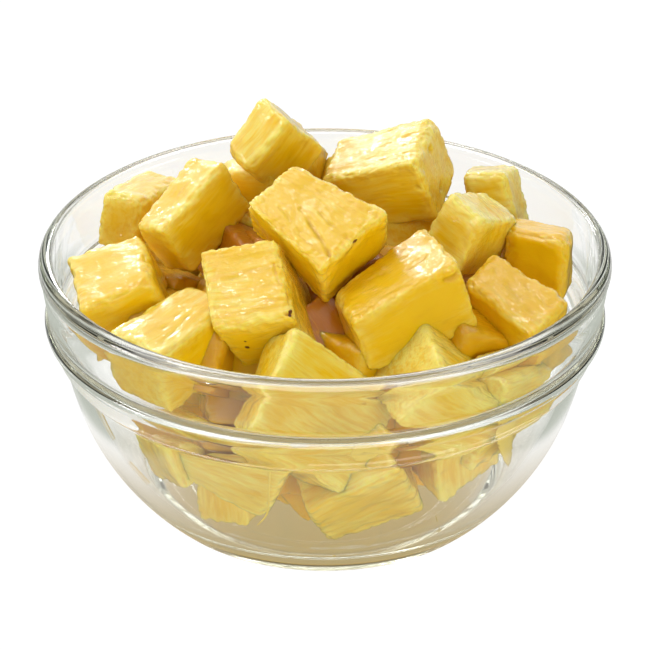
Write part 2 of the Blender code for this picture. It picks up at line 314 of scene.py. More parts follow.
# Each chunk is a corner, the three edges that leave it, and how much the far end of the first is narrower.
# The fibres follow the first edge, or the one that "grain" names. "wet" is how rippled its juice is, its
# ripeness value how deep its own colour, and "step" the size of its mesh faces, where they are finer than
# usual. A split runs from one point to the next, with a half width, a depth and a darkness of painted shade
# in its crease; a speck has a place and a radius.
# Their places are measured from the chunk's middle along its own edges.
shownChunks = {
    "left_peak": {
        "at": (-11, 12, 115), "edges": ((-12, -5, -14), (11, 12, -14), (-8, 10, 4)),
        "wet": 0.2, "ripenessAndShade": 0.6},
    "behind_peak": {"at": (-4, 34, 101), "edges": ((-9, 3, -2), (5, 8, -9), (-1, -8, -10))},
    "left_long": {
        "at": (-47, -14, 92), "edges": ((17, 21, 12), (-9, 8, -2), (8, 4, -16)), "taper": -0.1,
        "wet": 0.6, "ripenessAndShade": 0.9},
    "left_behind": {"at": (-55, 12, 89), "edges": ((11, 22, -2), (-12, 6, 1), (-3, 0, -18)), "taper": 0.1},
    "left_wall": {
        "at": (-50, -34, 86), "edges": ((-21, -3, -8), (-5, 25, 3), (6, 3, -16)), "taper": -0.1,
        "wet": 0.4, "ripenessAndShade": 1.0},
    "left_front": {
        "at": (-48, -64, 77), "edges": ((20, 24, 5), (-16, 12, 1), (2, 2, -19)), "taper": 0.1, "wet": 0.3,
        "splits": (
            ((-12, -5.4, -9.9), (3, -2.6, -9.9), 0.8, 0.5, 0.4),
            ((-9, -1.5, -9.9), (5, 0.6, -9.9), 0.7, 0.4, 0.3))},
    "middle": {
        "at": (-1, -40, 93), "edges": ((-24, 20, 10), (19, 15, 11), (1, 10, -16)), "taper": 0.3,
        "wet": 0.9, "step": 0.42, "ripenessAndShade": 1.0,
        "splits": (
            ((4.2, -1.6, -9.7), (-4.5, -3.9, -9.7), 0.8, 0.6, 0.7),
            ((-2.0, -3.2, -9.7), (-14.5, -8.2, -9.7), 1.1, 0.9, 0.95),
            ((-0.6, 1.8, -9.7), (-7.4, 0.3, -9.7), 0.6, 0.5, 0.7),
            ((-5.6, 0.4, -9.7), (-11.4, 1.4, -9.7), 0.7, 0.5, 0.6),
            ((-11.7, 0.3, -9.7), (-16.6, -0.7, -9.5), 0.6, 0.5, 0.7),
            ((3.0, 4.9, -9.7), (-4.6, 4.0, -9.7), 0.6, 0.3, 0.35),
            ((9.0, -6.0, -9.7), (-3.0, -8.0, -9.7), 0.8, 0.3, 0.25)),
        "specks": (
            ((-16.6, 0.3, -8.3), 0.7), ((-16.6, -0.4, -8.8), 0.55), ((-16.7, -1.8, -7.2), 0.45))},
    "right_peak": {
        "at": (26, 2, 107), "edges": ((-29, 11, -11), (7, 23, 6), (8, 2, -21)), "taper": 0.2,
        "wet": 0.8, "step": 0.45, "ripenessAndShade": 0.45,
        "splits": (
            ((1, -0.3, -11.6), (-6.5, 1.3, -11.6), 0.7, 0.35, 0.3),
            ((-8, 1.9, -11.6), (-15.5, 3.9, -11.6), 0.8, 0.4, 0.35),
            ((-3.8, -7.6, -11.6), (-9.5, -6.6, -11.6), 0.7, 0.4, 0.35),
            ((-11.0, -6.9, -11.6), (-16.5, -5.6, -11.6), 0.9, 0.5, 0.4),
            ((11.3, 2.9, -11.6), (3.0, 2.2, -11.6), 0.6, 0.3, 0.25),
            ((5.0, -5.5, -11.6), (-3.0, -4.2, -11.6), 0.6, 0.3, 0.25),
            ((-7.0, 6.5, -11.6), (-14.0, 7.6, -11.6), 0.7, 0.3, 0.3),
            ((-9.5, -2.4, -11.6), (-15.0, -1.2, -11.6), 0.7, 0.35, 0.3),
            ((-15.9, -12.7, -11.6), (-16.8, -10.5, -11.6), 2.2, 1.3, 0.2),
            ((-16.8, -1.3, -8.4), (-16.8, -0.4, -6.4), 1.9, 1.3, 0.35),
            ((-14.2, -12.7, -2.9), (-13.4, -12.7, -2.4), 1.3, 0.9, 0.6),
            ((-16.8, -3.8, 4.3), (-16.8, -3.2, 5.6), 1.7, 1.2, 0.6))},
    "right_ridge": {"at": (46, -14, 95), "edges": ((-10, 10, 5), (12, 17, -8), (-8, -1, -17)), "wet": 2.0},
    "right_back": {
        "at": (54, 20, 95), "edges": ((-12, 4, -4), (5, 14, -4), (5, -6, -18)), "taper": -0.2,
        "ripenessAndShade": 0.1},
    "right_wall": {
        "at": (71, -12, 88), "edges": ((-18, 9, 2), (4, 14, -2), (-1, -2, -20)), "taper": 0.3,
        "ripenessAndShade": 1.15},
    "right_front": {
        "at": (62, -47, 75), "edges": ((-20, 19, 8), (11, 11, 6), (1, 10, -22)), "taper": 0.2,
        "wet": 0.8, "ripenessAndShade": 1.15,
        "splits": (
            ((10.6, 3, -12.4), (-7.3, -2.2, -12.4), 0.8, 0.6, 0.5),
            ((4.4, -0.2, -12.4), (-13.0, -3.2, -12.4), 0.8, 0.5, 0.4),
            ((2.0, 4.6, -12.4), (-12.0, 2.2, -12.4), 0.8, 0.5, 0.4))},
    "middle_right": {
        "at": (8, -50, 82), "edges": ((29, 13, 11), (-7, 18, 0), (5, 1, -17)), "taper": -0.3,
        "wet": 0.7, "step": 0.5, "ripenessAndShade": 1.1,
        "splits": (
            ((10.5, -10, -6.9), (17.1, -10, -6.1), 0.9, 1.4, 0.7),
            ((16.8, -3, -9.2), (16.8, -7, -9.2), 2.0, 1.3, 0.1),
            ((-4.0, 1.0, -9.2), (9.0, 2.4, -9.2), 0.7, 0.5, 0.4),
            ((2.0, -3.0, -9.2), (13.0, -2.0, -9.2), 0.8, 0.6, 0.4))},
    "middle_front": {
        "at": (-9, -50, 83), "edges": ((-22, 2, -5), (-5, 24, 13), (11, 13, -25)),
        "wet": 4.0, "step": 0.42, "ripenessAndShade": 0.75,
        "splits": (
            ((-9.0, 5.8, -15.4), (-10.3, 1.0, -15.4), 0.8, 0.6, 0.6),
            ((-10.2, 1.9, -15.4), (-11.0, -4.0, -15.2), 0.8, 0.7, 0.6),
            ((-10.9, -3.2, -15.2), (-10.4, -10.0, -15.2), 0.9, 0.7, 0.6),
            ((-10.2, -11.2, -15.2), (-11.2, -12.9, -14.8), 1.9, 1.5, 1.0)),
        "specks": (
            ((-10.5, -12.6, -15.3), 0.8), ((-10.9, -11.8, -15.2), 0.8), ((-11.2, -11.0, -14.8), 0.6),
            ((5.5, -14.2, -5.4), 0.6), ((5.0, -14.2, -8.3), 0.4),
            ((-1.2, -14.2, -4.2), 0.75), ((-1.5, -14.2, -5.6), 0.4))},
    "front_wedge": {
        "at": (-8, -54, 83), "edges": ((-13, -20, -20), (29, 6, -27), (-8, 15, -10)),
        "taper": 0.1, "grain": 1, "wet": 0.3, "ripenessAndShade": 0.25},
    "front_right": {
        "at": (34, -63, 73), "edges": ((-6, 24, 4), (18, 8, -17), (-13, -2, -15)), "taper": -0.2,
        "grain": 1, "wet": 2.0, "ripenessAndShade": 0.0,
        "specks": (((9.9, -13.3, -1.0), 0.5),)},
    "under_left_peak": {"at": (-17, 12, 99), "edges": ((-13, 8, -3), (8, 15, -2), (2, -2, -20))},
    "low_left": {
        "at": (-18, -63, 25), "edges": ((-31, 12, 2), (8, -9, 23), (6, 14, 3)), "taper": 0.6,
        "ripenessAndShade": 0.1},
    "low_middle": {
        "at": (-5, -67, 31), "edges": ((26, -1, 15), (-4, 14, 5), (7, 16, -22)), "taper": -0.2,
        "wet": 1.0, "ripenessAndShade": 0.4,
        "specks": (((15.1, -7.8, -1.4), 0.6),)},
    "low_far_left": {"at": (-49, -42, 27), "edges": ((-5, -3, 17), (10, -12, 3), (11, 10, 4))},
    "low_small_left": {"at": (-37, -44, 13), "edges": ((-1, -1, 15), (15, -6, 2), (6, 14, 0))},
    "low_right": {"at": (33, -52, 24), "edges": ((-2, -6, 22), (17, 9, 8), (-8, 13, 3))},
    "under_right": {"at": (66, -40, 62), "edges": ((-14, -15, 3), (-8, 10, 2), (-4, -3, -17))},
    "low_far_right": {"at": (58, -44, 52), "edges": ((-13, -12, -1), (-8, 9, 2), (-5, 1, -14))},
}

# Every chunk also has a few short splits along its fibres.
smallSplits = {
    "count": 9,
    "length": (4.0, 12.0),
    "halfWidth": (0.6, 1.0),
    "depth": (0.1, 0.3),
    # how dark the painted shade in their creases is
    "creaseShade": (0.1, 0.4),
}

# The chunks behind and beneath: rings of (count, radius, height, from, to, share of the radius kept across),
# with the angles in degrees, 0 right and 90 behind.
restRings = {
    "gapShadeInside": 2.4,        # painted gap shade: those that show only in the gaps are made deep and dark in colour
    "gapShadeBetween": 1.5,       # those beside them less so
    "gapShadeBelow": 1.3,         # and so are those that show in the gaps through the glass, also painted shade
    "ripeOutside": 0.5,
    "gapRadius": (45, 57),    # how far from the axis the gaps reach, and the chunks beside them
    "gapBack": (8, 15),       # and how far back
    "gapFloor": 61,
    "seed": 11,
    "rings": (
        (6, 56, 62, 20, 160, 1.0),
        (3, 53, 65, -50, 18, 1.0),
        (3, 53, 65, 162, 230, 1.0),
        (4, 38, 79, 20, 160, 1.0),
        (3, 18, 69, 70, 190, 1.0),
        (3, 12, 72, 0, 360, 1.0),
        (7, 34, 60, 185, 355, 1.0),
        (9, 54, 42, -8, 188, 0.76),
        (6, 40, 48, 200, 340, 0.9),
        (8, 42, 27, -20, 250, 0.7),
        (4, 22, 19, -90, 180, 0.9),
        (5, 27, 18, 195, 350, 1.0),
        (2, 37, 56, 175, 215, 1.0),
        (1, 20, 58, 20, 60, 1.0),
    ),
    "length": (26, 34),
    "width": (20, 25),
    "depth": (17, 21),
    "tilt": 40,               # degrees either way
    "lift": 3,
    "taper": (0.1, 0.35),
}

chunkForm = {
    "ripenessAndShade": (0.2, 0.8),    # for chunks that name none
    "wet": 0.5,
    "plump": 0.3,          # faces lie this far outside the given corners
    "cornerRound": (1.3, 1.5, 1.8, 2.2, 2.6, 4.5),      # worn corners and edges
    "roundest": 0.7,       # but no rounder than this share of half the chunk's least width
    "edgeReach": 5.0,      # how far the pale band along an edge goes
    "speckBlur": 1.6,
    "grainShift": (37.0, 19.0, 53.0),      # keeps the fibres of two chunks from being alike
    "glassGap": 0.35,
    "step": 0.66,          # size of a mesh face on a chunk that shows
    "restStep": 1.15,
    "crowdTowardsEdges": 0.3,
    "waver": (0.5, 0.25),  # how far the faces waver, slowly and quickly
    "waverTurn": (0.55, 1.3),
    "slideStep": 0.25,     # how a chunk that would cross the glass is moved in
    "slideTries": 200,
    "pressGap": (0.15, 0.12),      # what stays free at the wall and at the floor
}


def outgrown(corner, edges):
    for edge in edges:
        corner = corner - edge.normalized() * chunkForm["plump"]
    return corner, [edge + edge.normalized() * 2 * chunkForm["plump"] for edge in edges]


def eightCorners(corner, edges, taper):
    points = []
    for u in (0, 1):
        scale = 1 - taper * u
        for v in (0, 1):
            for w in (0, 1):
                side = edges[1] * (0.5 + (v - 0.5) * scale)
                deep = edges[2] * (0.5 + (w - 0.5) * scale)
                points.append(corner + edges[0] * u + side + deep)
    return points


def insideShift(points):
    # how far a chunk slides towards the bowl's axis until all of it is inside the glass
    samples = list(points)
    for i, first in enumerate(points):
        samples += [(first + second) / 2 for second in points[i + 1:]]
    gap = chunkForm["glassGap"]
    shift = Vector((0, 0, 0))
    for _ in range(chunkForm["slideTries"]):
        push = None
        for point in samples:
            place = point + shift
            if place.z < bowl["floorZ"] + gap:
                push = Vector((0, 0, 1))
                break
            allowed = innerRadius(min(max(place.z, bowl["floorZ"]), bowl["height"])) - gap
            if math.hypot(place.x, place.y) > allowed:
                inward = Vector((-place.x, -place.y, 0)).normalized()
                below = max(0.0, bowl["bodyCentreZ"] - place.z) / bowl["bodyRadius"]
                push = (inward + Vector((0, 0, below))).normalized()
                break
        if push is None:
            break
        shift += push * chunkForm["slideStep"]
    return shift


def restChunks():
    draw = random.Random(restRings["seed"])
    tilt, lift = restRings["tilt"], restRings["lift"]
    chunks = {}
    for ring, (count, radius, height, start, end, acrossShare) in enumerate(restRings["rings"]):
        for i in range(count):
            angle = math.radians(start + (end - start) * (i + draw.uniform(0.3, 0.7)) / count)
            centre = Vector((radius * acrossShare * math.cos(angle), radius * math.sin(angle), height))
            centre.z += draw.uniform(-lift, lift)
            turn = Matrix.Rotation(draw.uniform(0, math.tau), 3, "Z")
            tip = Matrix.Rotation(math.radians(draw.uniform(-tilt, tilt)), 3, "X")
            roll = Matrix.Rotation(math.radians(draw.uniform(-tilt, tilt)), 3, "Y")
            lie = turn @ tip @ roll
            edges = [lie @ Vector((draw.uniform(*restRings["length"]), 0, 0)),
                     lie @ Vector((0, draw.uniform(*restRings["width"]), 0)),
                     lie @ Vector((0, 0, -draw.uniform(*restRings["depth"])))]
            corner = centre - (edges[0] + edges[1] + edges[2]) / 2
            chunks[f"rest_{ring}_{i}"] = {
                "at": corner, "edges": edges, "taper": draw.uniform(*restRings["taper"]),
                "outgrown": False, "ripenessAndShade": ripenessWithGapShade(centre)}
    return chunks


# painted shade: hidden chunks in and beside the gaps get a deeper, darker colour
def ripenessWithGapShade(place):
    reach = math.hypot(place.x, place.y)
    if reach > restRings["gapRadius"][1] or place.y > restRings["gapBack"][1]:
        return restRings["ripeOutside"]
    if place.z < restRings["gapFloor"]:
        return restRings["gapShadeBelow"]
    if reach > restRings["gapRadius"][0] or place.y > restRings["gapBack"][0]:
        return restRings["gapShadeBetween"]
    return restRings["gapShadeInside"]


def blockLattice(counts):
    # points on the skin of a box lattice, and its quads facing out
    index = {}
    cells = []

    def point(i, j, k):
        if (i, j, k) not in index:
            index[(i, j, k)] = len(index)
        return index[(i, j, k)]

    for axis in range(3):
        a, b = (axis + 1) % 3, (axis + 2) % 3
        for side in (0, counts[axis]):
            for s in range(counts[a]):
                for t in range(counts[b]):
                    ring = []
                    for ds, dt in ((0, 0), (1, 0), (1, 1), (0, 1)):
                        place = [0, 0, 0]
                        place[axis], place[a], place[b] = side, s + ds, t + dt
                        ring.append(point(*place))
                    cells.append(ring if side else ring[::-1])
    return np.array(list(index), dtype=float), cells


def splitDepth(points, start, end, halfWidth):
    # 1 in the middle of a split, less towards its sides and its pointed ends
    start, end = np.array(start, dtype=float), np.array(end, dtype=float)
    run = end - start
    share = np.clip((points - start) @ run / max(run @ run, 1e-9), 0, 1)
    away = np.linalg.norm(points - start - share[:, None] * run, axis=1)
    width = halfWidth * (0.35 + 0.65 * np.sqrt(4 * share * (1 - share)))
    return np.clip(1 - (away / width) ** 2, 0, 1) ** 1.5


def chunkSplits(chunk, half, number):
    draw = random.Random(number * 13 + 1)
    splits = list(chunk.get("splits", ()))
    along = chunk.get("grain", 0)
    for _ in range(smallSplits["count"]):
        across = (along + draw.choice((1, 2))) % 3
        place = [draw.uniform(-0.8, 0.8) * h for h in half]
        place[across] = draw.choice((-1, 1)) * half[across]
        reach = list(place)
        reach[along] += draw.uniform(*smallSplits["length"])
        splits.append((place, reach, draw.uniform(*smallSplits["halfWidth"]),
                       draw.uniform(*smallSplits["depth"]), draw.uniform(*smallSplits["creaseShade"])))
    return splits


def chunkMesh(chunk, step, number):
    corner, edges = Vector(chunk["at"]), [Vector(edge) for edge in chunk["edges"]]
    if chunk.get("outgrown", True):
        corner, edges = outgrown(corner, edges)
    taper = chunk.get("taper", 0.0)
    corner = corner + insideShift(eightCorners(corner, edges, taper))
    flipped = edges[0].cross(edges[1]).dot(edges[2]) < 0
    lengths = np.array([edge.length for edge in edges])
    counts = [max(6, int(round(length / step))) for length in lengths]
    lattice, cells = blockLattice(counts)
    half = lengths / 2
    across = lattice / np.array(counts) * 2 - 1
    crowd = chunkForm["crowdTowardsEdges"]
    across = (1 - crowd) * across + crowd * np.sin(across * math.pi / 2)
    place = across * half
    # each corner is worn by its own amount
    draw = random.Random(number * 7)
    worn = np.array([draw.choice(chunkForm["cornerRound"]) for _ in range(8)]).reshape(2, 2, 2)
    u, v, w = ((across + 1) / 2).T
    soft = sum(worn[i, j, k] * (u if i else 1 - u) * (v if j else 1 - v) * (w if k else 1 - w)
               for i in (0, 1) for j in (0, 1) for k in (0, 1))
    soft = np.minimum(soft, half.min() * chunkForm["roundest"])[:, None]
    inner = np.clip(place, -(half - soft), half - soft)
    out = place - inner
    reach = np.linalg.norm(out, axis=1, keepdims=True)
    rounded = inner + out / np.maximum(reach, 1e-6) * soft
    near = np.sort(half - np.abs(place), axis=1)[:, 1]
    edgeness = np.clip(1 - near / chunkForm["edgeReach"], 0, 1)
    share = (rounded + half) / (2 * half)
    scale = 1 - taper * share[:, :1]
    base = np.array(corner)[None, :]
    e = [np.array(edge)[None, :] for edge in edges]
    slow, quick = chunkForm["waver"]
    slowTurn, quickTurn = chunkForm["waverTurn"]
    wavered = (rounded + slow * np.sin(rounded[:, [1, 2, 0]] * slowTurn + number)
               + quick * np.sin(rounded * quickTurn + number))
    hollow, dark, speck = np.zeros(len(rounded)), np.zeros(len(rounded)), np.zeros(len(rounded))
    # painted shade: each split darkens the colour in its crease
    for start, end, halfWidth, depth, creaseShade in chunkSplits(chunk, half, number):
        cut = splitDepth(wavered, start, end, halfWidth)
        hollow = np.maximum(hollow, cut * depth)
        dark = np.maximum(dark, cut * creaseShade)
    for middle, radius in chunk.get("specks", ()):
        away = np.linalg.norm(rounded - np.array(middle), axis=1)
        speck = np.maximum(speck, np.clip(chunkForm["speckBlur"] - away / radius, 0, 1))
    points = (base + e[0] * share[:, :1] + e[1] * (0.5 + (share[:, 1:2] - 0.5) * scale)
              + e[2] * (0.5 + (share[:, 2:3] - 0.5) * scale))
    grainAxis = chunk.get("grain", 0)
    order = [grainAxis, (grainAxis + 1) % 3, (grainAxis + 2) % 3]
    grain = rounded[:, order] + np.array(chunkForm["grainShift"]) * number
    faces = [cell[::-1] for cell in cells] if flipped else cells
    layers = {"grain": grain, "edgeness": edgeness, "hollow": hollow, "dark": dark, "speck": speck}
    return points, faces, layers


fruitRelief = {
    "wobbleSize": 12.0, "wobbleDepth": 0.95,      # faces and edges are never quite straight
    "fibreLength": 13.0, "fibreWidth": 3.0, "fibreDepth": 0.03,
    "threadLength": 5.0, "threadWidth": 1.3, "threadDepth": 0.02,
    "nickSize": 3.0, "nickDepth": 0.5,            # nicks along the cut edges
}


def reliefTree(material):
    tree = bpy.data.node_groups.new("cutFruitRelief", "GeometryNodeTree")
    tree.interface.new_socket("Geometry", in_out="INPUT", socket_type="NodeSocketGeometry")
    sockets = {}
    for name, value in fruitRelief.items():
        socket = tree.interface.new_socket(name, in_out="INPUT", socket_type="NodeSocketFloat")
        socket.default_value = value
        sockets[name] = socket.identifier
    tree.interface.new_socket("Geometry", in_out="OUTPUT", socket_type="NodeSocketGeometry")
    start = tree.nodes.new("NodeGroupInput")
    end = tree.nodes.new("NodeGroupOutput")
    value = start.outputs

    def attribute(name, kind):
        return addNode(tree, "GeometryNodeInputNamedAttribute", {"data_type": kind}, Name=name).outputs[0]

    def stretched(length, width):
        along = maths(tree, "DIVIDE", 1.0, value[length])
        side = maths(tree, "DIVIDE", 1.0, value[width])
        shares = addNode(tree, "ShaderNodeCombineXYZ", None, X=along, Y=side, Z=side)
        return scaled(tree, grain, shares.outputs[0])

    def scaledEvenly(vector, factor):
        return addNode(tree, "ShaderNodeVectorMath", {"operation": "SCALE"}, i0=vector,
                       Scale=factor).outputs[0]

    grain = attribute("grain", "FLOAT_VECTOR")
    wobble = noise(tree, stretched("wobbleSize", "wobbleSize"), 1.0, 1.5).outputs["Color"]
    wobble = vectorMaths(tree, "SUBTRACT", wobble, (0.5, 0.5, 0.5))
    wobble = scaledEvenly(wobble, times(tree, value["wobbleDepth"], mm * 2))
    fibre = noise(tree, stretched("fibreLength", "fibreWidth"), 1.0, 1.0, 0.5, 0.4).outputs[0]
    fibre = ranged(tree, fibre, 0.34, 0.56, -1.0, 0.25)
    thread = noise(tree, stretched("threadLength", "threadWidth"), 1.0, 1.0).outputs[0]
    thread = maths(tree, "SUBTRACT", thread, 0.5)
    nick = noise(tree, stretched("nickSize", "nickSize"), 1.0, 2.0, 0.6).outputs[0]
    nick = times(tree, ranged(tree, nick, 0.36, 0.62, -1.0, 0.35), attribute("edgeness", "FLOAT"))
    height = times(tree, fibre, value["fibreDepth"])
    threadDepth = times(tree, value["threadDepth"], 2.0)
    height = maths(tree, "ADD", height, times(tree, thread, threadDepth))
    height = maths(tree, "ADD", height, times(tree, nick, value["nickDepth"]))
    height = maths(tree, "SUBTRACT", height, attribute("hollow", "FLOAT"))
    normal = addNode(tree, "GeometryNodeInputNormal").outputs[0]
    offset = vectorMaths(tree, "ADD", scaledEvenly(normal, times(tree, height, mm)), wobble)
    moved = addNode(tree, "GeometryNodeSetPosition", None, Geometry=start.outputs["Geometry"], Offset=offset)
    real = addNode(tree, "GeometryNodeRealizeInstances", None, Geometry=moved.outputs[0])
    dressed = addNode(tree, "GeometryNodeSetMaterial", None, Geometry=real.outputs[0], Material=material)
    tree.links.new(dressed.outputs[0], end.inputs[0])
    return tree, sockets


def applyTree(thing, tree, sockets, values):
    modifier = thing.modifiers.new("relief", "NODES")
    modifier.node_group = tree
    for name, value in values.items():
        modifier[sockets[name]] = value
    bpy.context.view_layer.update()
    mesh = bpy.data.meshes.new_from_object(thing.evaluated_get(bpy.context.evaluated_depsgraph_get()))
    thing.modifiers.clear()
    thing.data = mesh
    return thing


def pressInside(mesh):
    # a chunk that leans on the glass is flattened against it
    count = len(mesh.vertices)
    flat = np.empty(count * 3)
    mesh.vertices.foreach_get("co", flat)
    points = flat.reshape(-1, 3) / mm
    heights = np.linspace(bowl["floorZ"], bowl["height"], 400)
    radii = np.array([innerRadius(z) for z in heights])
    wallGap, floorGap = chunkForm["pressGap"]
    points[:, 2] = np.maximum(points[:, 2], bowl["floorZ"] + floorGap)
    allowed = np.interp(points[:, 2], heights, radii, right=1e3) - wallGap
    reach = np.hypot(points[:, 0], points[:, 1])
    squeeze = np.minimum(1.0, allowed / np.maximum(reach, 1e-6))
    points[:, :2] *= squeeze[:, None]
    mesh.vertices.foreach_set("co", (points * mm).ravel())
    mesh.update()


def makeChunks(name, chunks, step, relief, firstNumber):
    tree, sockets = relief
    draw = random.Random(firstNumber + 5)
    allPoints, allFaces, values = [], [], {}
    offset = 0
    for number, chunk in enumerate(chunks.values()):
        points, faces, layers = chunkMesh(chunk, chunk.get("step", step), firstNumber + number)
        layers["ripenessAndShade"] = np.full(len(points), chunk.get("ripenessAndShade", draw.uniform(*chunkForm["ripenessAndShade"])))
        layers["wet"] = np.full(len(points), chunk.get("wet", chunkForm["wet"]))
        allPoints.append(points)
        allFaces += [[offset + i for i in face] for face in faces]
        for key, layer in layers.items():
            values.setdefault(key, []).append(layer)
        offset += len(points)
    thing = meshObject(name, np.concatenate(allPoints).tolist(), allFaces)
    for key, layers in values.items():
        joined = np.concatenate(layers).astype(np.float32)
        kind, field = ("FLOAT_VECTOR", "vector") if joined.ndim == 2 else ("FLOAT", "value")
        thing.data.attributes.new(key, kind, "POINT").data.foreach_set(field, joined.ravel())
    thing.data.shade_smooth()
    applyTree(thing, tree, sockets, fruitRelief)
    pressInside(thing.data)
    thing.data.shade_smooth()
    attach(thing, "root")
    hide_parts("pineapple_heap")
    print(name, len(chunks), "chunks,", len(thing.data.polygons) * 2, "triangles")
    return thing


flesh = {
    "pale": (0.88, 0.75, 0.16),
    "golden": (0.85, 0.54, 0.001),
    "amber": (0.57, 0.22, 0.001),
    # painted shade deep in the gaps between the chunks
    "gapShadeColour": (0.34, 0.09, 0.001),
    # the colour of thin fibres and of the painted shade in the splits
    "splitColour": (0.72, 0.42, 0.004),
    "speckColour": (0.12, 0.025, 0.006),
    "streakScale": (0.08, 0.6, 0.6),      # per millimetre, along the fibres and across them
    "threadScale": (0.2, 1.3, 1.3),
    "patchScale": (0.06, 0.1, 0.1),
    "lineScale": (0.05, 0.55, 0.55),
    "gritScale": (0.75, 1.1, 1.1),
    "rippleScale": (0.35, 1.1, 1.1),
    "poolScale": 0.14,
    "streakShare": 0.45,            # how much each of them pales the flesh
    "threadShare": 0.3,
    "patchShare": 0.5,
    "ripenessAndShadeShare": 0.85,              # and how much ripeness deepens it, with the painted gap shade that the same value carries
    "fibreLines": 0.42,
    "deepStreaks": 0.12,
    "edgePaleness": 0.7,
    "shadedSidePaleness": 0.4,            # painted shade: faces that look sideways keep this share of their paleness, so they are deeper than those that look up
    "shadedLowSidePaleness": 0.75,            # but less so below the rim
    "rimReach": (0.060, 0.070),     # metres up
    # painted shade: the pale band along an edge keeps this share where the surface looks down
    "shadedEdgePaleness": 0.45,
    "glow": 0.7,                    # how much light goes through
    "glowRadius": (1.0, 0.75, 0.12),
    "glowScale": 0.0022,            # metres
    "index": 1.42,
    "roughness": 0.42,
    "juiceIndex": 1.4,              # the wet film over the flesh
    "juiceRoughness": 0.05,
    "grainHeight": 0.00007,
    "rippleHeight": 0.0008,
}


